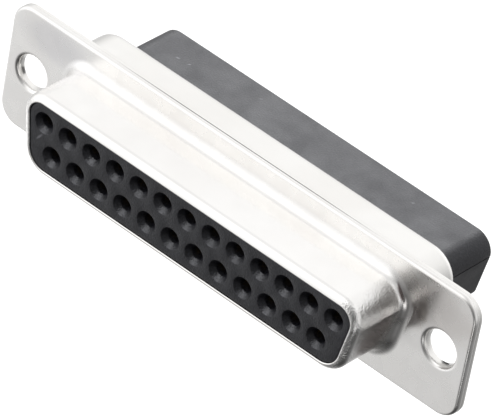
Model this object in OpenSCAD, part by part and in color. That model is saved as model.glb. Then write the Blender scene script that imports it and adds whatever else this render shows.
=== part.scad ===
// 25-way D-sub socket connector, crimp type: two drawn sheet-steel shells around a
// two-piece black moulding that holds 25 turned socket contacts.
// X runs along the connector, Z is up (the wide side of the D), and the mating face
// looks towards -Y. The origin is on the flange's front plane, at the centre of the D.

/* [Flange] */
// Overall length of the flange
flange_w = 53.04; // [52.4:0.02:54]
// Height of the flange
flange_h = 12.55; // [12.2:0.05:13]
// Corner radius of the flange
flange_r = 2.1; // [1:0.1:3]
// Distance between the two mounting holes
hole_pitch = 47.04; // [46.8:0.02:47.3]
// Diameter of the mounting holes
hole_d = 3.3; // [3.0:0.05:3.6]
// Rounded edge of the mounting holes, front side
hole_round = 0.06; // [0.02:0.02:0.3]

/* [Shells] */
// Sheet thickness of the front shell
front_t = 0.48; // [0.4:0.02:0.5]
// Sheet thickness of the rear shell
rear_t = 0.45; // [0.4:0.01:0.5]
// Overall width of the front shroud
shroud_w = 38.25; // [38.1:0.01:38.5]
// Overall height of the front shroud
shroud_h = 7.9; // [7.8:0.02:8]
// How far the shroud stands in front of the flange
shroud_len = 5.95; // [5.7:0.05:6.2]
// Outer radius of the shroud's rolled-in front lip
lip_r = 0.74; // [0.6:0.02:0.8]
// Radius of the fillet between shroud and flange
root_r = 1.0; // [0.7:0.05:1.1]
// Overall width of the rear pan
pan_w = 41.28; // [41.1:0.02:41.4]
// Overall height of the rear pan
pan_h = 10.72; // [10.6:0.02:10.8]
// Depth of the rear pan, from the flange's front plane
pan_depth = 5.03; // [4.8:0.01:5.3]
// Radius of the pan's rear shoulder
pan_shoulder = 1.0; // [0.8:0.05:1.1]
// Radius of the pan's root at the flange
pan_root = 0.4; // [0.3:0.05:0.45]

/* [Insulator] */
// How far the insulator's face stands in front of the flange
face_len = 5.83; // [5.7:0.01:5.9]
// Full width of the rear block at its top, before rounding
block_w = 38.64; // [38.2:0.02:38.9]
// Height of the rear block above the mating axis
block_top = 3.22; // [3.1:0.02:3.4]
// Depth of the rear block below the mating axis
block_bot = 3.5; // [3.2:0.05:3.6]
// Distance from the flange's front plane to the rear of the block
block_depth = 11.74; // [11.3:0.02:12]
// Contact pitch in a row
pitch = 2.77; // [2.74:0.01:2.8]
// Distance between the two rows
row_gap = 2.84; // [2.8:0.01:2.88]
// Mouth diameter of each lead-in cone
mouth_d = 2.06; // [1.8:0.02:2.2]
// Pin hole at the bottom of each cone
entry_d = 1.2; // [1.1:0.05:1.4]
// Depth of the lead-in cone
cone_depth = 0.5; // [0.3:0.05:0.7]

/* [Contacts] */
// Diameter of the mating pin that the socket takes
pin_d = 1.02; // [1:0.01:1.04]
// Outside diameter of the socket barrel
socket_d = 1.66; // [1.56:0.02:1.7]
// Distance of the socket's mouth in front of the flange
socket_front = 4.1; // [3.9:0.05:4.2]
// Outside diameter of the crimp barrel
crimp_d = 1.74; // [1.6:0.02:1.8]
// Distance of the crimp barrel's end behind the flange
crimp_end = 10.2; // [9.6:0.1:10.8]

/* [Hidden] */
$fn = 64;
e = 0.01;
// slant of the D's ends
sl = 10;
t10 = tan(sl);
kt = 1 / tan(40);   // top corner, 80 degrees inside
kb = 1 / tan(50);   // bottom corner, 100 degrees inside
ko = t10 + 1 / cos(sl);
kx = kt - 1;        // what rounding takes off the D's greatest half width

// D outlines as [half width at top before rounding, top, bottom, top corner radius, bottom corner radius]
shroud_rt = 2.15;
shroud_rb = 2.64;
SHROUD = [shroud_w / 2 + kx * shroud_rt, shroud_h / 2, shroud_h / 2, shroud_rt, shroud_rb];
pan_rt = 2.8;
pan_rb = 2.8;
PAN = [pan_w / 2 + kx * pan_rt, pan_h / 2, pan_h / 2, pan_rt, pan_rb];
BLOCK = [block_w / 2, block_top, block_bot, 1.83, 1.0];

// the same D, moved outwards by o
function off_d(d, o) = [d[0] + ko * o, d[1] + o, d[2] + o, d[3] + o, d[4] + o];
// the same D with its corners tighter by k
function tight_d(d, k) = [d[0], d[1], d[2], d[3] - k, d[4] - k];
function xt(d) = d[0] - kt * d[3];                            // centre of the top corner arc
function xb(d) = d[0] - t10 * (d[1] + d[2]) - kb * d[4];      // centre of the bottom corner arc
function ct(d) = [xt(d), d[1] - d[3]];
function cb(d) = [xb(d), -d[2] + d[4]];
function dirv(a) = [cos(a), sin(a)];
function mx(p) = [-p[0], p[1]];

// flat D outline with true arcs in its corners, each a hair inside its two straight lines
module flat_d(d) {
    pr = ct(d) + d[3] * dirv(-sl);
    qr = cb(d) + d[4] * dirv(-sl);
    polygon([[xt(d), d[1]], [-xt(d), d[1]], mx(pr), mx(qr),
             [-xb(d), -d[2]], [xb(d), -d[2]], qr, pr]);
    for (s = [-1, 1]) {
        translate([s * xt(d), d[1] - d[3]]) circle(d[3] - 0.004);
        translate([s * xb(d), -d[2] + d[4]]) circle(d[4] - 0.004);
    }
}

// a section swept once round a D: x of the section points outwards, y points forwards.
// The corner pieces reach 2 degrees into the straight ones and are drawn $in smaller all
// round, so that neighbouring pieces cross each other cleanly.
module along_d(d) {
    pr = ct(d) + d[3] * dirv(-sl);
    qr = cb(d) + d[4] * dirv(-sl);
    side = norm(pr - qr);
    let ($in = 0) {
        translate([-xt(d), d[1], 0]) rotate([90, 0, 90]) linear_extrude(2 * xt(d)) children();
        translate([xb(d), -d[2], 0]) rotate([90, 0, 270]) linear_extrude(2 * xb(d)) children();
        translate([-qr[0], qr[1], 0]) rotate([90, 0, 180 + sl]) linear_extrude(side) children();
        translate([pr[0], pr[1], 0]) rotate([90, 0, 360 - sl]) linear_extrude(side) children();
    }
    let ($in = 0.005) {
        translate([xt(d), d[1] - d[3], 0]) rotate([0, 0, -sl - 2]) rotate_extrude(angle = 94 + sl) translate([d[3], 0]) children();
        translate([-xt(d), d[1] - d[3], 0]) rotate([0, 0, 88]) rotate_extrude(angle = 94 + sl) translate([d[3], 0]) children();
        translate([-xb(d), -d[2] + d[4], 0]) rotate([0, 0, 178 + sl]) rotate_extrude(angle = 94 - sl) translate([d[4], 0]) children();
        translate([xb(d), -d[2] + d[4], 0]) rotate([0, 0, 268]) rotate_extrude(angle = 94 - sl) translate([d[4], 0]) children();
    }
}

module flange_plate() {
    x = flange_w / 2 - flange_r;
    y = flange_h / 2 - flange_r;
    square([2 * x, flange_h], center = true);
    square([flange_w, 2 * y], center = true);
    for (i = [-1, 1]) for (j = [-1, 1]) translate([i * x, j * y]) circle(flange_r);
}

// everything below is drawn with z pointing out of the mating face and then turned
module turned() { rotate([90, 0, 0]) children(); }

// quarter ring between radii a and b, in the quadrant sx, sy from its centre
module quarter(a, b, sx, sy, free = 0) {
    intersection() {
        difference() { circle(b - $in); circle(a + $in); }
        translate([sx > 0 ? free : -b - 1, sy > 0 ? 0 : -b - 1]) square(b + 1);
    }
}

// strip from x0 to x1 and y0 to y1, drawn smaller by $in across its thickness
module upright(x0, x1, y0, y1) { translate([x0 + $in, y0]) square([x1 - x0 - 2 * $in, y1 - y0]); }
module level(x0, x1, y0, y1) { translate([x0, y0 + $in]) square([x1 - x0 - $in, y1 - y0 - 2 * $in]); }

module shroud_section() {
    level(root_r, root_r + 0.4, -front_t, 0);
    translate([root_r, root_r]) quarter(root_r, root_r + front_t, -1, -1);
    upright(-front_t, 0, root_r, shroud_len - lip_r);
    translate([-lip_r, shroud_len - lip_r]) quarter(lip_r - front_t, lip_r, 1, 1, $in);
}

module front_shell() {
    color([0.86, 0.86, 0.85]) turned() difference() {
        union() {
            translate([0, 0, -front_t]) linear_extrude(front_t) difference() {
                flange_plate();
                flat_d(tight_d(off_d(SHROUD, root_r + 0.1), 0.3));
            }
            along_d(SHROUD) shroud_section();
        }
        for (s = [-1, 1]) translate([s * hole_pitch / 2, 0, 0]) {
            translate([0, 0, -front_t - 1]) cylinder(d = hole_d, h = front_t + 2);
            rotate_extrude() difference() {
                translate([0, -hole_round]) square([hole_d / 2 + hole_round, hole_round + 0.5]);
                translate([hole_d / 2 + hole_round, -hole_round]) circle(hole_round);
            }
        }
    }
}

rear_z = -front_t - rear_t;     // back plane of the flange

module pan_section() {
    level(pan_root, pan_root + 0.4, rear_z, -front_t);
    translate([pan_root, rear_z - pan_root]) quarter(pan_root, pan_root + rear_t, -1, 1);
    upright(-rear_t, 0, -pan_depth + pan_shoulder, rear_z - pan_root);
    translate([-pan_shoulder, -pan_depth + pan_shoulder]) quarter(pan_shoulder - rear_t, pan_shoulder, 1, -1);
    level(-pan_shoulder - 0.3, -pan_shoulder + $in, -pan_depth, -pan_depth + rear_t);
}

module rear_shell() {
    color([0.82, 0.82, 0.81]) turned() {
        difference() {
            translate([0, 0, rear_z]) linear_extrude(rear_t) difference() {
                flange_plate();
                flat_d(tight_d(off_d(PAN, pan_root + 0.1), 0.3));
            }
            for (s = [-1, 1]) translate([s * hole_pitch / 2, 0, rear_z - 1])
                cylinder(d = hole_d, h = rear_t + 2);
        }
        along_d(PAN) pan_section();
        translate([0, 0, -pan_depth]) linear_extrude(rear_t) difference() {
            flat_d(tight_d(off_d(PAN, -pan_shoulder - 0.18), 0.2));
            flat_d(off_d(BLOCK, 0.12));
        }
    }
}

// centre of contact n: 1 to 13 along the top row, 14 to 25 along the bottom row,
// counted from the right as seen from the mating side
function spot(n) = n <= 13 ? [(7 - n) * pitch, row_gap / 2] : [(19.5 - n) * pitch, -row_gap / 2];

joint_z = -1.95;      // where the two mouldings meet
bore_front = 1.8;     // bore round the socket barrel
bore_rear = 2.12;     // bore round the crimp barrel
pocket = 2.44;        // pocket that the contact's barb springs into
pocket_end = -3.6;

module front_insulator() {
    color([0.13, 0.13, 0.14]) turned() difference() {
        union() {
            translate([0, 0, face_len - 0.7]) linear_extrude(0.7) flat_d(off_d(SHROUD, -lip_r - 0.03));
            translate([0, 0, -front_t - 0.5]) linear_extrude(face_len - 0.7 + front_t + 0.5) flat_d(off_d(SHROUD, -front_t - 0.05));
            translate([0, 0, joint_z]) linear_extrude(-joint_z - front_t) flat_d(off_d(PAN, -rear_t - 0.05));
        }
        for (n = [1 : 25]) translate([spot(n)[0], spot(n)[1], 0]) {
            translate([0, 0, face_len - cone_depth]) cylinder(d1 = entry_d, d2 = mouth_d, h = cone_depth);
            translate([0, 0, face_len]) cylinder(d = mouth_d, h = 1);
            translate([0, 0, 0]) cylinder(d = entry_d, h = face_len + 0.5);
            translate([0, 0, joint_z - 1]) cylinder(d = bore_front, h = 4.3 - joint_z + 1);
        }
    }
}

module rear_insulator() {
    color([0.14, 0.14, 0.15]) turned() difference() {
        union() {
            translate([0, 0, -pan_depth + pan_shoulder - 0.1])
                linear_extrude(joint_z + pan_depth - pan_shoulder + 0.1) flat_d(off_d(PAN, -rear_t - 0.05));
            translate([0, 0, -pan_depth + rear_t]) linear_extrude(pan_shoulder) flat_d(off_d(PAN, -pan_shoulder));
            translate([0, 0, -block_depth]) linear_extrude(block_depth - pan_depth + 1) flat_d(BLOCK);
        }
        for (n = [1 : 25]) translate([spot(n)[0], spot(n)[1], 0]) {
            translate([0, 0, pocket_end]) cylinder(d = pocket, h = 5);
            translate([0, 0, -block_depth - 1]) cylinder(d = bore_rear, h = block_depth);
            translate([0, 0, -block_depth]) cylinder(d1 = bore_rear + 0.3, d2 = bore_rear, h = 0.25);
        }
    }
}

// one turned contact: slit socket barrel, collar, spring barb and crimp barrel
module socket_contact(n) {
    color([0.83, 0.68, 0.34]) turned() translate([spot(n)[0], spot(n)[1], 0]) difference() {
        union() {
            translate([0, 0, -1.2]) cylinder(d = socket_d, h = socket_front + 1.2);
            translate([0, 0, joint_z]) cylinder(d = 1.4, h = 1);
            translate([0, 0, joint_z - 0.6]) cylinder(d = 2.0, h = 0.6);
            translate([0, 0, pocket_end - 0.8]) cylinder(d = 1.4, h = 2);
            translate([0, 0, pocket_end + 0.02]) cylinder(d1 = 2.32, d2 = 1.6, h = 0.8);
            translate([0, 0, -crimp_end]) cylinder(d = crimp_d, h = crimp_end + pocket_end - 0.4);
        }
        // socket bore with its lead-in, and the two slits that let it spring
        translate([0, 0, socket_front - 5]) cylinder(d = pin_d + 0.03, h = 6);
        translate([0, 0, socket_front - 0.2]) cylinder(d1 = pin_d + 0.03, d2 = socket_d - 0.16, h = 0.201);
        translate([0, 0, socket_front - 3.6 / 2 + 0.5]) cube([3, 0.18, 4.6], center = true);
        // crimp bore, its flare and the inspection hole
        translate([0, 0, -crimp_end - 1]) cylinder(d = 1.15, h = 6);
        translate([0, 0, -crimp_end - 0.001]) cylinder(d1 = 1.5, d2 = 1.15, h = 0.3);
        translate([0, 0, -crimp_end + 4.4]) rotate([-90, 0, 0]) cylinder(d = 0.5, h = 3);
    }
}

front_shell();
rear_shell();
front_insulator();
rear_insulator();
socket_contact(1);  // contact_01
socket_contact(2);  // contact_02
socket_contact(3);  // contact_03
socket_contact(4);  // contact_04
socket_contact(5);  // contact_05
socket_contact(6);  // contact_06
socket_contact(7);  // contact_07
socket_contact(8);  // contact_08
socket_contact(9);  // contact_09
socket_contact(10);  // contact_10
socket_contact(11);  // contact_11
socket_contact(12);  // contact_12
socket_contact(13);  // contact_13
socket_contact(14);  // contact_14
socket_contact(15);  // contact_15
socket_contact(16);  // contact_16
socket_contact(17);  // contact_17
socket_contact(18);  // contact_18
socket_contact(19);  // contact_19
socket_contact(20);  // contact_20
socket_contact(21);  // contact_21
socket_contact(22);  // contact_22
socket_contact(23);  // contact_23
socket_contact(24);  // contact_24
socket_contact(25);  // contact_25
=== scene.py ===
import math

import bmesh
import bpy
from mathutils import Matrix, Vector
from mathutils.geometry import delaunay_2d_cdt


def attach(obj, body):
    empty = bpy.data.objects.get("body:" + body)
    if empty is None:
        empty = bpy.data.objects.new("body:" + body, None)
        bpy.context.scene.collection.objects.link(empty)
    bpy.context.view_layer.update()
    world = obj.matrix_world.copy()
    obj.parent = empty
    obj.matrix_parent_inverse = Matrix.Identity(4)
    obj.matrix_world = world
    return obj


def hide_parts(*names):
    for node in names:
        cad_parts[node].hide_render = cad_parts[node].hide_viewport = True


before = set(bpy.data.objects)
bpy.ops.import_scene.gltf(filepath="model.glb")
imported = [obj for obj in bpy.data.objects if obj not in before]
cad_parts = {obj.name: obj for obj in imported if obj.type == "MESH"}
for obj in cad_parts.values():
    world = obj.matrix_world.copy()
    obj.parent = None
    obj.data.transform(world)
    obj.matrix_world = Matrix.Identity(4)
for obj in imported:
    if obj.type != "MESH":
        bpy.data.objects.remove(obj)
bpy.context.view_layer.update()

MM = 0.001
scene = bpy.context.scene
scene.view_settings.view_transform = "Standard"
scene.view_settings.look = "None"
scene.view_settings.exposure = 0.0
scene.view_settings.gamma = 1.0
FRONT_TOP, BACK_TOP, POOL, CARD = 1.50, 1.74, 0.35, 0.0055

# ---------------------------------------------------------------- camera
# turned about its own axis as the photograph is, long lens, no shift
cam_data = bpy.data.cameras.new("camera")
cam = bpy.data.objects.new("camera", cam_data)
scene.collection.objects.link(cam)
scene.camera = cam
right = Vector((0.7320424, 0.6644567, 0.1503700))
down = Vector((0.4936451, -0.3652459, -0.7892464))
ahead = Vector((-0.4694981, 0.6519913, -0.5953813))
cam.matrix_world = Matrix((
    (right.x, -down.x, -ahead.x, 0.23256998),
    (right.y, -down.y, -ahead.y, -0.32075290),
    (right.z, -down.z, -ahead.z, 0.29376016),
    (0, 0, 0, 1)))
cam_data.sensor_fit = "HORIZONTAL"
cam_data.sensor_width = 36.0
cam_data.lens = 5846.289 / 492 * 36
cam_data.clip_start = 0.02
cam_data.clip_end = 20
cam_data.dof.use_dof = False

# ---------------------------------------------------------------- sizes, in mm, as the CAD has them
SL = math.radians(10)
KT, KB = 1 / math.tan(math.radians(40)), 1 / math.tan(math.radians(50))
KO = math.tan(SL) + 1 / math.cos(SL)
FLANGE_W, FLANGE_H, FLANGE_R = 53.04, 12.55, 2.1
HOLE_X, HOLE_R = 23.52, 1.65
HOLE_ROLL, HOLE_DEEP = 0.38, 0.42
FT, RT = 0.48, 0.45
SHROUD_LEN, LIP_R, ROOT_R = 5.95, 0.74, 1.0
PAN_DEPTH, PAN_SHOULDER, PAN_ROOT = 5.03, 1.0, 0.4
FACE, BLOCK_DEPTH = 5.83, 11.74
SHROUD = (38.25 / 2 + (KT - 1) * 2.15, 3.95, 3.95, 2.15, 2.64)
PAN = (41.28 / 2 + (KT - 1) * 2.8, 5.36, 5.36, 2.8, 2.8)
BLOCK = (38.64 / 2, 3.22, 3.5, 1.83, 1.0)
REAR = -FT - RT
PITCH, ROW = 2.77, 2.84
MOUTH_R, ENTRY_R, CONE = 1.03, 0.6, 0.5


def spot(n):
    return ((7 - n) * PITCH, ROW / 2) if n <= 13 else ((19.5 - n) * PITCH, -ROW / 2)


SPOTS = [spot(n) for n in range(1, 26)]


def off(d, o):
    return (d[0] + KO * o, d[1] + o, d[2] + o, d[3] + o, d[4] + o)


def d_loop(d, arc=20, long=36, side=14):
    """Points round a D, anticlockwise from the right end, the same count for any D."""
    xt = d[0] - KT * d[3]
    xb = d[0] - math.tan(SL) * (d[1] + d[2]) - KB * d[4]
    corners = [
        ((xt, d[1] - d[3]), d[3], -10, 90),
        ((-xt, d[1] - d[3]), d[3], 90, 190),
        ((-xb, -d[2] + d[4]), d[4], 190, 270),
        ((xb, -d[2] + d[4]), d[4], 270, 350),
    ]
    runs = [long, side, long, side]
    arcs = []
    for (cx, cy), r, a0, a1 in corners:
        arcs.append([(cx + r * math.cos(math.radians(a0 + (a1 - a0) * i / arc)),
                      cy + r * math.sin(math.radians(a0 + (a1 - a0) * i / arc))) for i in range(arc + 1)])
    out = []
    for k in range(4):
        out += arcs[k]
        p, q = arcs[k][-1], arcs[(k + 1) % 4][0]
        n = runs[k]
        out += [(p[0] + (q[0] - p[0]) * i / n, p[1] + (q[1] - p[1]) * i / n) for i in range(1, n)]
    return out


def rect_loop(w, h, r, arc=12, long=40, side=8):
    out = []
    cs = [((w / 2 - r, h / 2 - r), 0), ((-w / 2 + r, h / 2 - r), 90),
          ((-w / 2 + r, -h / 2 + r), 180), ((w / 2 - r, -h / 2 + r), 270)]
    arcs = [[(c[0] + r * math.cos(math.radians(a + 90 * i / arc)), c[1] + r * math.sin(math.radians(a + 90 * i / arc)))
             for i in range(arc + 1)] for c, a in cs]
    runs = [long, side, long, side]
    for k in range(4):
        out += arcs[k]
        p, q = arcs[k][-1], arcs[(k + 1) % 4][0]
        out += [(p[0] + (q[0] - p[0]) * i / runs[k], p[1] + (q[1] - p[1]) * i / runs[k]) for i in range(1, runs[k])]
    return out


def ring(cx, cy, r, n=48):
    return [(cx + r * math.cos(2 * math.pi * i / n), cy + r * math.sin(2 * math.pi * i / n)) for i in range(n)]


class Maker:
    """A mesh made of loops: (x, y) points at a height z out of the mating face."""

    def __init__(self):
        self.bm = bmesh.new()
        self.creases = []

    def loop(self, pts, z):
        return [self.bm.verts.new((x * MM, -z * MM, y * MM)) for x, y in pts]

    def skin(self, a, b):
        n = len(a)
        for i in range(n):
            j = (i + 1) % n
            self.bm.faces.new((a[i], a[j], b[j], b[i]))

    def run(self, loops):
        """Skins a list of vertex loops in order."""
        for a, b in zip(loops, loops[1:]):
            self.skin(a, b)

    def fill(self, outer, inners):
        """Fills the flat region between an outer vertex loop and inner ones."""
        groups = [outer] + list(inners)
        verts = [v for g in groups for v in g]
        pts = [(v.co.x / MM, v.co.z / MM) for v in verts]
        edges, k = [], 0
        for g in groups:
            n = len(g)
            edges += [(k + i, k + (i + 1) % n) for i in range(n)]
            k += n
        co, _, faces, orig, _, _ = delaunay_2d_cdt([Vector(p) for p in pts], edges, [], 0, 1e-6)
        back = [o[0] if o else None for o in orig]

        def inside(p, poly):
            hit = False
            for (x0, y0), (x1, y1) in zip(poly, poly[1:] + poly[:1]):
                if (y0 > p[1]) != (y1 > p[1]) and p[0] < (x1 - x0) * (p[1] - y0) / (y1 - y0) + x0:
                    hit = not hit
            return hit

        polys, k = [], 0
        for g in groups:
            polys.append(pts[k:k + len(g)])
            k += len(g)
        for f in faces:
            c = sum((co[i] for i in f), Vector((0, 0))) / len(f)
            if inside(c, polys[0]) and not any(inside(c, q) for q in polys[1:]):
                vs = [verts[back[i]] for i in f]
                if len(set(vs)) == 3:
                    self.bm.faces.new(vs)

    def done(self, name, replaced, material, sharp=35):
        bm = self.bm
        bmesh.ops.recalc_face_normals(bm, faces=bm.faces)
        bm.verts.index_update()
        kept = {frozenset((a.index, b.index)) for a, b in self.creases}
        me = bpy.data.meshes.new(name)
        bm.to_mesh(me)
        bm.free()
        me.materials.append(material)
        ob = bpy.data.objects.new(name, me)
        scene.collection.objects.link(ob)
        me.shade_smooth()
        me.set_sharp_from_angle(angle=math.radians(sharp))
        for e in me.edges:
            if frozenset(e.vertices) in kept:
                e.use_edge_sharp = True
        ob.modifiers.new("normals", "WEIGHTED_NORMAL").keep_sharp = True
        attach(ob, "root")
        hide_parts(*replaced)
        return ob


def arc_pts(cx, cz, r, a0, a1, n):
    return [(cx + r * math.cos(math.radians(a0 + (a1 - a0) * i / n)), cz + r * math.sin(math.radians(a0 + (a1 - a0) * i / n)))
            for i in range(n + 1)]


# ---------------------------------------------------------------- materials
def nodes_of(name):
    m = bpy.data.materials.new(name)
    m.use_nodes = True
    nt = m.node_tree
    bsdf = nt.nodes["Principled BSDF"]
    return m, nt, bsdf


def tin(name, base, rough, wave=0.35, drawn=0.0, peel=0.0, patches_and_painted_shade=()):
    """Bright tin plate: soft rolling grain, darker tinted patches (some of them painted reflection and painted shade),
    a slow wave in the sheet, a glossier drawn wall (drawn is its change in roughness) and orange peel on the wall's
    two ends.

    A patch is (place in mm, turn in degrees, half sizes in mm, tint); the tint multiplies the colour."""
    m, nt, b = nodes_of(name)
    N, L = nt.nodes.new, nt.links.new
    tc = N("ShaderNodeTexCoord")
    b.inputs["Metallic"].default_value = 1.0
    slow = N("ShaderNodeTexNoise")
    slow.inputs["Scale"].default_value = 140
    slow.inputs["Detail"].default_value = 2
    L(tc.outputs["Object"], slow.inputs["Vector"])
    fine = N("ShaderNodeTexNoise")
    fine.inputs["Scale"].default_value = 2600
    fine.inputs["Detail"].default_value = 5
    L(tc.outputs["Object"], fine.inputs["Vector"])
    mid = N("ShaderNodeTexNoise")
    mid.inputs["Scale"].default_value = 520
    mid.inputs["Detail"].default_value = 4
    L(tc.outputs["Object"], mid.inputs["Vector"])
    # colour: a little warmer and darker in slow patches
    ramp = N("ShaderNodeValToRGB")
    ramp.color_ramp.elements[0].position = 0.35
    ramp.color_ramp.elements[0].color = (base[0] * 0.965, base[1] * 0.96, base[2] * 0.955, 1)
    ramp.color_ramp.elements[1].position = 0.62
    ramp.color_ramp.elements[1].color = (*base, 1)
    L(slow.outputs["Fac"], ramp.inputs["Fac"])
    # the joint between the two sheets lies in shadow
    sep = N("ShaderNodeSeparateXYZ")
    L(tc.outputs["Object"], sep.inputs["Vector"])
    dist = N("ShaderNodeMath")
    dist.operation = "SUBTRACT"
    dist.inputs[1].default_value = FT * MM
    L(sep.outputs["Y"], dist.inputs[0])
    dabs = N("ShaderNodeMath")
    dabs.operation = "ABSOLUTE"
    L(dist.outputs[0], dabs.inputs[0])
    seam = N("ShaderNodeMapRange")
    seam.inputs["From Min"].default_value = 0.00002
    seam.inputs["From Max"].default_value = 0.00006
    seam.inputs["To Min"].default_value = 0.10
    seam.inputs["To Max"].default_value = 1.0
    L(dabs.outputs[0], seam.inputs["Value"])
    # towards the ears the two edges are pressed together and the joint doesn't show
    xabs = N("ShaderNodeMath")
    xabs.operation = "ABSOLUTE"
    L(sep.outputs["X"], xabs.inputs[0])
    shut = N("ShaderNodeMapRange")
    shut.inputs["From Min"].default_value = 0.007
    shut.inputs["From Max"].default_value = 0.015
    shut.inputs["To Min"].default_value = 0.10
    shut.inputs["To Max"].default_value = 1.0
    L(xabs.outputs[0], shut.inputs["Value"])
    seen = N("ShaderNodeMath")
    seen.operation = "MAXIMUM"
    L(seam.outputs["Result"], seen.inputs[0])
    L(shut.outputs["Result"], seen.inputs[1])
    shade = N("ShaderNodeMix")
    shade.data_type = "RGBA"
    shade.blend_type = "MULTIPLY"
    shade.inputs["Factor"].default_value = 1.0
    L(ramp.outputs["Color"], shade.inputs[6])
    L(seen.outputs[0], shade.inputs[7])
    colour = shade.outputs[2]
    # darken the colour in each patch; several patches are painted reflection and painted shade (see MAT_FRONT)
    for place, turn, half, tint in patches_and_painted_shade:
        mp = N("ShaderNodeMapping")
        mp.vector_type = "TEXTURE"
        mp.inputs["Location"].default_value = [c * MM for c in place]
        mp.inputs["Rotation"].default_value = [math.radians(t) for t in turn]
        mp.inputs["Scale"].default_value = [h * MM for h in half]
        L(tc.outputs["Object"], mp.inputs["Vector"])
        ln = N("ShaderNodeVectorMath")
        ln.operation = "LENGTH"
        L(mp.outputs["Vector"], ln.inputs[0])
        ragged = N("ShaderNodeMath")
        ragged.operation = "MULTIPLY_ADD"
        ragged.inputs[1].default_value = 1.1
        L(mid.outputs["Fac"], ragged.inputs[0])
        L(ln.outputs["Value"], ragged.inputs[2])
        fade = N("ShaderNodeMapRange")
        fade.interpolation_type = "SMOOTHSTEP"
        fade.inputs["From Min"].default_value = 1.0
        fade.inputs["From Max"].default_value = 2.0
        fade.inputs["To Min"].default_value = 1.0
        fade.inputs["To Max"].default_value = 0.0
        L(ragged.outputs[0], fade.inputs["Value"])
        mix = N("ShaderNodeMix")
        mix.data_type = "RGBA"
        mix.blend_type = "MULTIPLY"
        mix.inputs[7].default_value = (*tint, 1)
        L(fade.outputs["Result"], mix.inputs["Factor"])
        L(colour, mix.inputs[6])
        colour = mix.outputs[2]
    L(colour, b.inputs["Base Color"])
    # roughness from the fine and middle grain
    mr = N("ShaderNodeMapRange")
    mr.inputs["From Min"].default_value = 0.3
    mr.inputs["From Max"].default_value = 0.7
    mr.inputs["To Min"].default_value = rough - 0.05
    mr.inputs["To Max"].default_value = rough + 0.06
    L(mid.outputs["Fac"], mr.inputs["Value"])
    ahead_of = N("ShaderNodeMapRange")
    ahead_of.interpolation_type = "SMOOTHSTEP"
    ahead_of.inputs["From Min"].default_value = -0.0004
    ahead_of.inputs["From Max"].default_value = -0.0012
    L(sep.outputs["Y"], ahead_of.inputs["Value"])
    gloss = N("ShaderNodeMath")
    gloss.operation = "MULTIPLY_ADD"
    gloss.inputs[1].default_value = drawn
    L(ahead_of.outputs["Result"], gloss.inputs[0])
    L(mr.outputs["Result"], gloss.inputs[2])
    L(gloss.outputs[0], b.inputs["Roughness"])
    bump = N("ShaderNodeBump")
    bump.inputs["Strength"].default_value = wave
    bump.inputs["Distance"].default_value = 0.00012
    L(slow.outputs["Fac"], bump.inputs["Height"])
    bump2 = N("ShaderNodeBump")
    bump2.inputs["Strength"].default_value = 0.04
    bump2.inputs["Distance"].default_value = 0.00002
    L(fine.outputs["Fac"], bump2.inputs["Height"])
    L(bump.outputs["Normal"], bump2.inputs["Normal"])
    last = bump2
    if peel:
        pit = N("ShaderNodeTexNoise")
        pit.inputs["Scale"].default_value = 6500
        pit.inputs["Detail"].default_value = 2
        L(tc.outputs["Object"], pit.inputs["Vector"])
        where = N("ShaderNodeMapRange")
        where.interpolation_type = "SMOOTHSTEP"
        where.inputs["From Min"].default_value = 0.0166
        where.inputs["From Max"].default_value = 0.0178
        where.inputs["To Max"].default_value = peel
        L(xabs.outputs[0], where.inputs["Value"])
        both = N("ShaderNodeMath")
        both.operation = "MULTIPLY"
        L(where.outputs["Result"], both.inputs[0])
        L(ahead_of.outputs["Result"], both.inputs[1])
        bump3 = N("ShaderNodeBump")
        bump3.inputs["Distance"].default_value = 0.00005
        L(both.outputs[0], bump3.inputs["Strength"])
        L(pit.outputs["Fac"], bump3.inputs["Height"])
        L(last.outputs["Normal"], bump3.inputs["Normal"])
        last = bump3
    L(last.outputs["Normal"], b.inputs["Normal"])
    return m


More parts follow.
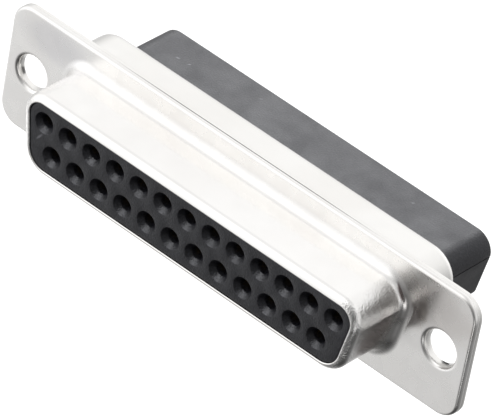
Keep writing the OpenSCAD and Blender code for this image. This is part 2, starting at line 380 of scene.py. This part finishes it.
def moulding(name, base, rough, speck, pits, scuffs=()):
    """Black glass-filled moulding: fine pale speckle, a fine eroded grain and a few scuffs.

    A scuff is (place in mm, turn in degrees about the view onto its face, half sizes in mm)."""
    m, nt, b = nodes_of(name)
    b.inputs["Specular IOR Level"].default_value = 0.5
    b.inputs["Specular Tint"].default_value = (0.94, 0.95, 1.0, 1)
    N, L = nt.nodes.new, nt.links.new
    tc = N("ShaderNodeTexCoord")
    grain = N("ShaderNodeTexNoise")
    grain.inputs["Scale"].default_value = 6500
    grain.inputs["Detail"].default_value = 3
    L(tc.outputs["Object"], grain.inputs["Vector"])
    patch = N("ShaderNodeTexNoise")
    patch.inputs["Scale"].default_value = 420
    patch.inputs["Detail"].default_value = 4
    L(tc.outputs["Object"], patch.inputs["Vector"])
    ramp = N("ShaderNodeValToRGB")
    ramp.color_ramp.elements[0].position = 0.40
    ramp.color_ramp.elements[0].color = (base[0] * 0.5, base[1] * 0.5, base[2] * 0.5, 1)
    ramp.color_ramp.elements[1].position = 0.66
    ramp.color_ramp.elements[1].color = (base[0] * speck, base[1] * speck, base[2] * speck, 1)
    L(grain.outputs["Fac"], ramp.inputs["Fac"])
    colour = ramp.outputs["Color"]
    for place, turn, half in scuffs:
        mp = N("ShaderNodeMapping")
        mp.vector_type = "TEXTURE"
        mp.inputs["Location"].default_value = [c * MM for c in place]
        mp.inputs["Rotation"].default_value = [math.radians(a) for a in turn]
        mp.inputs["Scale"].default_value = [h * MM for h in half]
        L(tc.outputs["Object"], mp.inputs["Vector"])
        ln = N("ShaderNodeVectorMath")
        ln.operation = "LENGTH"
        L(mp.outputs["Vector"], ln.inputs[0])
        fade = N("ShaderNodeMapRange")
        fade.inputs["From Min"].default_value = 0.3
        fade.inputs["From Max"].default_value = 1.0
        fade.inputs["To Min"].default_value = 1.0
        fade.inputs["To Max"].default_value = 0.0
        L(ln.outputs["Value"], fade.inputs["Value"])
        mix = N("ShaderNodeMix")
        mix.data_type = "RGBA"
        mix.inputs[7].default_value = (0.09, 0.09, 0.10, 1)
        L(fade.outputs["Result"], mix.inputs["Factor"])
        L(colour, mix.inputs[6])
        colour = mix.outputs[2]
    L(colour, b.inputs["Base Color"])
    mr = N("ShaderNodeMapRange")
    mr.inputs["From Min"].default_value = 0.3
    mr.inputs["From Max"].default_value = 0.7
    mr.inputs["To Min"].default_value = rough - 0.05
    mr.inputs["To Max"].default_value = rough + 0.08
    L(patch.outputs["Fac"], mr.inputs["Value"])
    L(mr.outputs["Result"], b.inputs["Roughness"])
    bump = N("ShaderNodeBump")
    bump.inputs["Strength"].default_value = pits
    bump.inputs["Distance"].default_value = 0.00005
    L(grain.outputs["Fac"], bump.inputs["Height"])
    L(bump.outputs["Normal"], b.inputs["Normal"])
    return m


def gilt(name):
    m, nt, b = nodes_of(name)
    N, L = nt.nodes.new, nt.links.new
    tc = N("ShaderNodeTexCoord")
    n = N("ShaderNodeTexNoise")
    n.inputs["Scale"].default_value = 1500
    n.inputs["Detail"].default_value = 3
    L(tc.outputs["Object"], n.inputs["Vector"])
    ramp = N("ShaderNodeValToRGB")
    ramp.color_ramp.elements[0].position = 0.3
    ramp.color_ramp.elements[0].color = (0.55, 0.36, 0.12, 1)
    ramp.color_ramp.elements[1].position = 0.7
    ramp.color_ramp.elements[1].color = (0.72, 0.50, 0.20, 1)
    L(n.outputs["Fac"], ramp.inputs["Fac"])
    L(ramp.outputs["Color"], b.inputs["Base Color"])
    b.inputs["Metallic"].default_value = 1.0
    mr = N("ShaderNodeMapRange")
    mr.inputs["To Min"].default_value = 0.22
    mr.inputs["To Max"].default_value = 0.38
    L(n.outputs["Fac"], mr.inputs["Value"])
    L(mr.outputs["Result"], b.inputs["Roughness"])
    return m


MAT_FRONT = tin("tin_front", (0.90, 0.89, 0.875), 0.27, 0.12, -0.12, 0.9, [
    # the first two patches darken the upper parts of the right and left ears a little
    ((22.4, 0, 3.6), (0, 0, 0), (4.2, 0.4, 2.6), (0.79, 0.77, 0.76)),
    ((-21.5, 0, 4.4), (0, 0, 0), (3.4, 0.4, 1.7), (0.86, 0.86, 0.88)),
    # painted reflection: the next two darken the flange beside the shroud's right foot and the shroud's drawn right
    # end, standing in for the dark gap under the shroud mirrored there. Painted shade: the last one darkens the groove
    # in the foot's bend at the upper right corner.
    ((21.2, 0, 2.5), (0, 0, 0), (0.55, 0.4, 1.3), (0.62, 0.60, 0.58)),
    ((19.0, -2.6, -0.5), (0, 0, 0), (1.4, 1.9, 2.5), (0.74, 0.68, 0.67)),
    ((18.86, -0.34, 3.16), (0, -34.4, 0), (0.14, 0.22, 0.95), (0.36, 0.31, 0.31))])
MAT_REAR = tin("tin_rear", (0.89, 0.88, 0.86), 0.20, 0.12)
MAT_FACE = moulding("black_face", (0.0026, 0.0026, 0.0034), 0.33, 5.0, 1.0, [
    ((-16.92, -5.83, -0.15), (0, -54, 0), (0.66, 0.5, 0.14))])
MAT_BLOCK = moulding("black_block", (0.0080, 0.0080, 0.0098), 0.42, 1.8, 0.45, [
    ((-14.71, 8.61, 3.22), (0, 0, 20), (0.26, 0.12, 0.3)), ((-13.46, 8.70, 3.22), (0, 0, 60), (0.24, 0.10, 0.3)),
    ((-6.32, 10.12, 3.22), (0, 0, 40), (0.22, 0.06, 0.3)), ((11.48, 9.74, 3.22), (0, 0, 50), (0.24, 0.09, 0.3))])
MAT_CONTACT = gilt("gilt_contact")

EDGE_IN, EDGE_DEEP = 0.28, 0.40   # rolled front edge of the front sheet
BURR = 0.012       # cut edges where the sheets meet
BACK_EDGE = 0.10   # back edge of the rear sheet
FLAT = 0.08


def rect_at(inset):
    return rect_loop(FLANGE_W - 2 * inset, FLANGE_H - 2 * inset, FLANGE_R - inset)


# ---------------------------------------------------------------- front shell
def creased(pts, z):
    """Draws the shroud's ends out a little where each top corner runs into the slanted end."""
    out = []
    for x, y in pts:
        k = min(1, max(0, (SHROUD_LEN - LIP_R - 0.1 - z) / 0.5)) * min(1, max(0, (z - 0.4) / 0.5))
        g = 0.055 * k * math.exp(-((y - 1.45) / 0.26) ** 2) if abs(x) > 18.2 else 0.0
        out.append((x + math.copysign(g, x), y))
    return out


def front_shell():
    mk = Maker()
    prof = []                                   # (offset from the shroud's outline, height)
    zc = SHROUD_LEN - LIP_R
    # free end of the lip with rounded edges, then its outer arc
    r0 = 0.09
    prof += arc_pts(-LIP_R + r0, SHROUD_LEN - r0, r0, 180, 92, 4)
    prof += arc_pts(-LIP_R, zc, LIP_R, 78, 0, 12)
    prof += [(0, zc - 1.0), (0, zc - 2.2), (0, ROOT_R + 1.2), (0, ROOT_R + 0.5)]
    prof += arc_pts(ROOT_R, ROOT_R, ROOT_R, 180, 270, 12)
    loops = [mk.loop(creased(d_loop(off(SHROUD, o)), z), z) for o, z in prof]
    # the die pressed a short groove into the foot's bend at the upper right corner
    cut = len(prof) - 7
    groove = []
    for a, deep in ((215, 0), (218, 0.05), (224, 0.05), (227, 0)):
        flat = d_loop(off(SHROUD, ROOT_R + ROOT_R * math.cos(math.radians(a))))
        sunk = d_loop(off(SHROUD, ROOT_R + (ROOT_R + deep) * math.cos(math.radians(a))))
        row = []
        for i, ((x, y), (u, v)) in enumerate(zip(flat, sunk)):
            k = math.exp(-((i - 8.5) / 4.2) ** 4) if i <= 20 else 0.0
            z = ROOT_R + (ROOT_R + deep * k) * math.sin(math.radians(a))
            row.append(mk.bm.verts.new(((x + (u - x) * k) * MM, -z * MM, (y + (v - y) * k) * MM)))
        groove.append(row)
    for ring5 in loops[cut - 1:cut + 1]:
        for v in ring5:
            mk.bm.verts.remove(v)
    loops[cut - 1:cut + 1] = groove
    # a short witness line that the drawing die left beside the foot, at the right end only
    for o, z in ((ROOT_R + 0.05, -0.006), (ROOT_R + 0.10, -0.024), (ROOT_R + 0.15, -0.006), (ROOT_R + 0.20, 0)):
        pts = d_loop(off(SHROUD, o))
        ring3 = []
        for x, y in pts:
            k = math.exp(-((y - 1.45) / 0.95) ** 4) if x > 15 else 0.0
            ring3.append(mk.bm.verts.new((x * MM, -z * k * MM, y * MM)))
        loops.append(ring3)
    mk.run(loops)
    front_in = loops[-1]
    # inner side, from the flange's back plane up to the lip's free end
    back = [(ROOT_R + 0.12, -FT)] + arc_pts(ROOT_R, ROOT_R, ROOT_R + FT, 270, 180, 12)
    back += [(-FT, zc - 2.2), (-FT, zc)]
    back += arc_pts(-LIP_R, zc, LIP_R - FT, 0, 74, 5)[1:]
    back += arc_pts(-LIP_R + r0, SHROUD_LEN - FT + r0, r0, 268, 180, 4)
    bl = [mk.loop(d_loop(off(SHROUD, o)), z) for o, z in back]
    mk.run(bl)
    mk.skin(bl[-1], loops[0])
    # flange; a flat ring beside each bend keeps the bend's shading out of the flat face
    outer = [mk.loop(rect_at(EDGE_IN + FLAT), 0)]
    outer += [mk.loop(rect_at(EDGE_IN * (1 - math.sin(math.radians(a)))), -EDGE_DEEP * (1 - math.cos(math.radians(a)))) for a in range(0, 91, 9)]
    outer += [mk.loop(rect_at(BURR * (1 - math.sin(math.radians(a)))), -FT + BURR * (1 - math.cos(math.radians(a)))) for a in (90, 45, 0)]
    mk.run(outer)
    fronts, backs = [front_in], [bl[0]]
    for s in (-1, 1):
        hl = [mk.loop(ring(s * HOLE_X, 0, HOLE_R + HOLE_ROLL + FLAT, 64), 0)]
        hl += [mk.loop(ring(s * HOLE_X, 0, HOLE_R + HOLE_ROLL * (1 - math.sin(math.radians(a))), 64), -HOLE_DEEP * (1 - math.cos(math.radians(a))))
              for a in (0, 10, 20, 30, 40, 50, 60, 75, 90)]
        hl += [mk.loop(ring(s * HOLE_X, 0, HOLE_R, 64), -FT)]
        mk.run(hl)
        fronts.append(hl[0])
        backs.append(hl[-1])
    mk.fill(outer[0], fronts)
    mk.fill(outer[-1], backs)
    return mk.done("front_shell_sheet", ["front_shell"], MAT_FRONT)


# ---------------------------------------------------------------- rear shell
def rear_shell():
    mk = Maker()
    out = [(PAN_ROOT + 0.1, REAR)] + arc_pts(PAN_ROOT, REAR - PAN_ROOT, PAN_ROOT, 90, 180, 7)
    zs = -PAN_DEPTH + PAN_SHOULDER
    out += [(0, REAR - PAN_ROOT - 0.8), (0, zs + 0.6)]
    out += arc_pts(-PAN_SHOULDER, zs, PAN_SHOULDER, 0, -90, 12)
    outer = [mk.loop(d_loop(off(PAN, o)), z) for o, z in out]
    mk.run(outer)
    inn = [(PAN_ROOT + 0.1, -FT)] + arc_pts(PAN_ROOT, REAR - PAN_ROOT, PAN_ROOT + RT, 90, 180, 7)
    inn += [(-RT, zs + 0.6)]
    inn += arc_pts(-PAN_SHOULDER, zs, PAN_SHOULDER - RT, 0, -90, 8)
    inner = [mk.loop(d_loop(off(PAN, o)), z) for o, z in inn]
    mk.run(inner)
    # the pan's floor and its opening round the block
    e1 = 0.08
    op = [mk.loop(d_loop(off(BLOCK, 0.12 + e1 * (1 - math.sin(math.radians(a))))), -PAN_DEPTH + e1 * (1 - math.cos(math.radians(a)))) for a in (0, 45, 90)]
    op += [mk.loop(d_loop(off(BLOCK, 0.12)), -PAN_DEPTH + RT)]
    op = [mk.loop(d_loop(off(BLOCK, 0.12 + e1 + FLAT)), -PAN_DEPTH)] + op
    outer.append(mk.loop(d_loop(off(PAN, -PAN_SHOULDER - FLAT)), -PAN_DEPTH))
    mk.skin(outer[-2], outer[-1])
    mk.run(op)
    mk.fill(outer[-1], [op[0]])
    mk.fill(inner[-1], [op[-1]])
    # flange
    rim = [mk.loop(rect_at(BURR * (1 - math.sin(math.radians(a)))), -FT - BURR * (1 - math.cos(math.radians(a)))) for a in (0, 45, 90)]
    rim += [mk.loop(rect_at(BACK_EDGE * (1 - math.sin(math.radians(a)))), REAR + BACK_EDGE * (1 - math.cos(math.radians(a)))) for a in (90, 68, 45, 22, 0)]
    rim += [mk.loop(rect_at(BACK_EDGE + FLAT), REAR)]
    mk.run(rim)
    fronts, backs = [inner[0]], [outer[0]]
    e2 = 0.05
    for s in (-1, 1):
        hl = [mk.loop(ring(s * HOLE_X, 0, HOLE_R, 64), -FT)]
        hl += [mk.loop(ring(s * HOLE_X, 0, HOLE_R + e2 * (1 - math.sin(math.radians(a))), 64), REAR + e2 * (1 - math.cos(math.radians(a)))) for a in (90, 45, 0)]
        hl += [mk.loop(ring(s * HOLE_X, 0, HOLE_R + e2 + FLAT, 64), REAR)]
        mk.run(hl)
        fronts.append(hl[0])
        backs.append(hl[-1])
    mk.fill(rim[0], fronts)
    mk.fill(rim[-1], backs)
    return mk.done("rear_shell_sheet", ["rear_shell"], MAT_REAR)


# ---------------------------------------------------------------- front moulding
JOINT = -1.95


def front_insulator():
    mk = Maker()
    r = 0.12
    top = off(SHROUD, -LIP_R - 0.03)
    outer = [mk.loop(d_loop(off(top, -r * (1 - math.sin(math.radians(a))))), FACE - r * (1 - math.cos(math.radians(a)))) for a in (0, 22, 45, 68, 90)]
    body = off(SHROUD, -FT - 0.05)
    flange = off(PAN, -RT - 0.05)
    for d, z in ((top, FACE - 0.7), (body, FACE - 0.7), (body, 2.5), (body, -FT), (flange, -FT), (flange, JOINT)):
        outer.append(mk.loop(d_loop(d), z))
    mk.run(outer)
    fronts, backs = [], []
    for cx, cy in SPOTS:
        e = 0.05
        prof = [(MOUTH_R + e, FACE), (MOUTH_R + 0.018, FACE - 0.008), (MOUTH_R - 0.004, FACE - 0.035)]
        prof += [(MOUTH_R - (MOUTH_R - ENTRY_R) * 0.45, FACE - CONE * 0.47)]
        prof += [(ENTRY_R + 0.03, FACE - CONE + 0.025), (ENTRY_R, FACE - CONE - 0.03), (ENTRY_R, 4.3), (0.9, 4.3), (0.9, JOINT)]
        hl = [mk.loop(ring(cx, cy, rr, 40), z) for rr, z in prof]
        mk.run(hl)
        fronts.append(hl[0])
        backs.append(hl[-1])
    mk.fill(outer[0], fronts)
    mk.fill(outer[-1], backs)
    return mk.done("front_moulding", ["front_insulator"], MAT_FACE)


# ---------------------------------------------------------------- rear moulding
SLIT_WIDE, SLIT_DEEP = 0.12, 0.20


def block_loop(d):
    """A D whose rounded top corners stop level and meet the slanted flats in a crease."""
    pts = d_loop(d)
    cx, cy, r = d[0] - KT * d[3], d[1] - d[3], d[3]
    for i in range(21):
        a = math.radians(90 * i / 20)
        pts[i] = (cx + r * math.cos(a), cy + r * math.sin(a))
        pts[56 + i] = (-cx + r * math.cos(a + math.pi / 2), cy + r * math.sin(a + math.pi / 2))
    for tip, first, last in ((76, 80, 89), (166, 167, 176)):
        p, q = pts[tip], pts[(tip + 14) % 180]
        for k in range(first, last + 1):
            t = (k - tip) / 14
            pts[k] = (p[0] + (q[0] - p[0]) * t, p[1] + (q[1] - p[1]) * t)
    # a narrow slit along each crease
    for tip, run, inward in ((76, (77, 78, 79), 1), (0, (179, 178, 177), -1)):
        x, y = pts[tip]
        fx, fy = pts[90] if tip else pts[166]
        n = math.hypot(fx - x, fy - y)
        ax, ay = (fx - x) / n * SLIT_WIDE, (fy - y) / n * SLIT_WIDE
        bx = inward * SLIT_DEEP
        pts[run[0]], pts[run[1]], pts[run[2]] = (x + bx, y), (x + ax + bx, y + ay), (x + ax, y + ay)
    return pts


def rear_insulator():
    mk = Maker()
    r = 0.14
    a = [(off(BLOCK, -r * (1 - math.sin(math.radians(t)))), -BLOCK_DEPTH + r * (1 - math.cos(math.radians(t)))) for t in (0, 22, 45, 68, 90)]
    low, high = off(PAN, -PAN_SHOULDER), off(PAN, -RT - 0.05)
    a += [(BLOCK, -9.5), (BLOCK, -7.0), (BLOCK, -PAN_DEPTH + RT), (low, -PAN_DEPTH + RT), (low, -PAN_DEPTH + PAN_SHOULDER - 0.1),
          (high, -PAN_DEPTH + PAN_SHOULDER - 0.1), (high, JOINT)]
    outer = [mk.loop(block_loop(d), z) for d, z in a]
    mk.run(outer)
    for m, n in zip(outer, outer[1:]):
        mk.creases += [(m[0], n[0]), (m[76], n[76])]
    backs, fronts = [], []
    for cx, cy in SPOTS:
        e = 0.04
        prof = [(1.21 + e, -BLOCK_DEPTH), (1.21 - 0.005, -BLOCK_DEPTH + 0.03), (1.06 + 0.02, -BLOCK_DEPTH + 0.22), (1.06, -BLOCK_DEPTH + 0.27),
                (1.06, -7.0), (1.06, -3.6), (1.22, -3.6), (1.22, JOINT)]
        hl = [mk.loop(ring(cx, cy, rr, 36), z) for rr, z in prof]
        mk.run(hl)
        backs.append(hl[0])
        fronts.append(hl[-1])
    mk.fill(outer[0], backs)
    mk.fill(outer[-1], fronts)
    return mk.done("rear_moulding", ["rear_insulator"], MAT_BLOCK)


ob_front = front_shell()
rear_shell()
ob_face = front_insulator()
ob_block = rear_insulator()

# contacts keep their own turned shape and get a gilt finish
for n in range(1, 26):
    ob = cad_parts["contact_%02d" % n]
    ob.data.materials.clear()
    ob.data.materials.append(MAT_CONTACT)

# ---------------------------------------------------------------- floor
FLOOR_Z = -0.045
bm = bmesh.new()
bmesh.ops.create_grid(bm, x_segments=8, y_segments=8, size=1.6)
me = bpy.data.meshes.new("floor")
bm.to_mesh(me)
bm.free()
floor = bpy.data.objects.new("floor", me)
floor.location = (0, 0, FLOOR_Z)
scene.collection.objects.link(floor)
fm, fnt, fb = nodes_of("floor_paint")
fb.inputs["Base Color"].default_value = (0.80, 0.80, 0.80, 1)
fb.inputs["Roughness"].default_value = 0.85
me.materials.append(fm)
floor.visible_glossy = False
floor.visible_diffuse = False
floor.visible_shadow = False

# ---------------------------------------------------------------- light
# a white tent: each glow is a soft patch of light (direction, tightness, strength)
GLOWS = [
    ((-0.87, 0.00, 0.50), 2, 0.92),
    ((-0.71, -0.71, 0.00), 5, 1.05),
    ((0.54, 0.68, 0.50), 5, 0.46),
    ((1.00, 0.00, 0.00), 9, 0.85),
    ((0.00, 1.00, 0.00), 5, 1.00),
    ((-0.25, -0.50, 0.83), 9, 0.80),
    ((0.00, 0.50, 0.87), 9, 0.33),
    ((-0.50, 0.40, -0.77), 14, 0.60),
    ((-0.60, 0.15, -0.79), 18, 1.25),
    ((-0.50, -0.64, -0.59), 25, 0.27),
    ((-0.47, 0.65, -0.60), 14, 0.45),
    ((-0.47, 0.65, 0.60), 9, 0.29),
    ((0.47, 0.65, -0.60), 9, 0.15),
    ((0.50, -0.70, 0.45), 12, 0.12),
    ((0.60, 0.10, 0.80), 9, 0.72),
]
world = bpy.data.worlds.new("studio")
scene.world = world
world.use_nodes = True
wn = world.node_tree
bg = wn.nodes["Background"]
bg.inputs["Color"].default_value = (1, 1, 1, 1)
tc = wn.nodes.new("ShaderNodeTexCoord")
total = None
for d, k, amount in GLOWS:
    dot = wn.nodes.new("ShaderNodeVectorMath")
    dot.operation = "DOT_PRODUCT"
    dot.inputs[1].default_value = Vector(d).normalized()
    wn.links.new(tc.outputs["Generated"], dot.inputs[0])
    near = wn.nodes.new("ShaderNodeMath")
    near.operation = "MULTIPLY_ADD"
    near.inputs[1].default_value = k
    near.inputs[2].default_value = -k
    wn.links.new(dot.outputs["Value"], near.inputs[0])
    ex = wn.nodes.new("ShaderNodeMath")
    ex.operation = "EXPONENT"
    wn.links.new(near.outputs[0], ex.inputs[0])
    add = wn.nodes.new("ShaderNodeMath")
    add.operation = "MULTIPLY_ADD"
    add.inputs[1].default_value = amount
    add.inputs[2].default_value = 0.0
    wn.links.new(ex.outputs[0], add.inputs[0])
    if total is not None:
        wn.links.new(total, add.inputs[2])
    total = add.outputs[0]
wn.links.new(total, bg.inputs["Strength"])


def softbox(name, loc, aim, sx, sy, power, only=None):
    ld = bpy.data.lights.new(name, "AREA")
    ld.shape = "RECTANGLE"
    ld.size, ld.size_y, ld.energy = sx, sy, power
    lo = bpy.data.objects.new(name, ld)
    lo.location = loc
    lo.rotation_mode = "QUATERNION"
    lo.rotation_quaternion = (Vector(aim) - Vector(loc)).to_track_quat("-Z", "Y")
    scene.collection.objects.link(lo)
    if only:
        lo.light_linking.receiver_collection = only
    return lo


lit_mouldings = bpy.data.collections.new("moulding_light")
for ob in (ob_face, ob_block):
    lit_mouldings.objects.link(ob)
lit_sheet = bpy.data.collections.new("sheet_light")
lit_sheet.objects.link(ob_front)
lit_floor = bpy.data.collections.new("floor_light")
lit_floor.objects.link(floor)

# two softboxes above the dark mouldings, and a pool of light on the floor behind the part
softbox("front_top", (-0.18, -0.28, 0.38), (0, 0, 0), 0.45, 0.40, FRONT_TOP, lit_mouldings)
softbox("back_top", (-0.24, 0.33, 0.31), (0, 0, 0), 0.45, 0.40, BACK_TOP, lit_mouldings)
# a small card low on the right, which the ear mirrors into the drawn end of the shroud
card = softbox("end_card", (0.0785, -0.067, -0.044), (0.0185, -0.002, 0.001), 0.036, 0.036, CARD, lit_sheet)
card.visible_camera = False
softbox("pool", (-0.035, 0.049, 0.16), (-0.035, 0.049, FLOOR_Z), 0.10, 0.10, POOL, lit_floor)
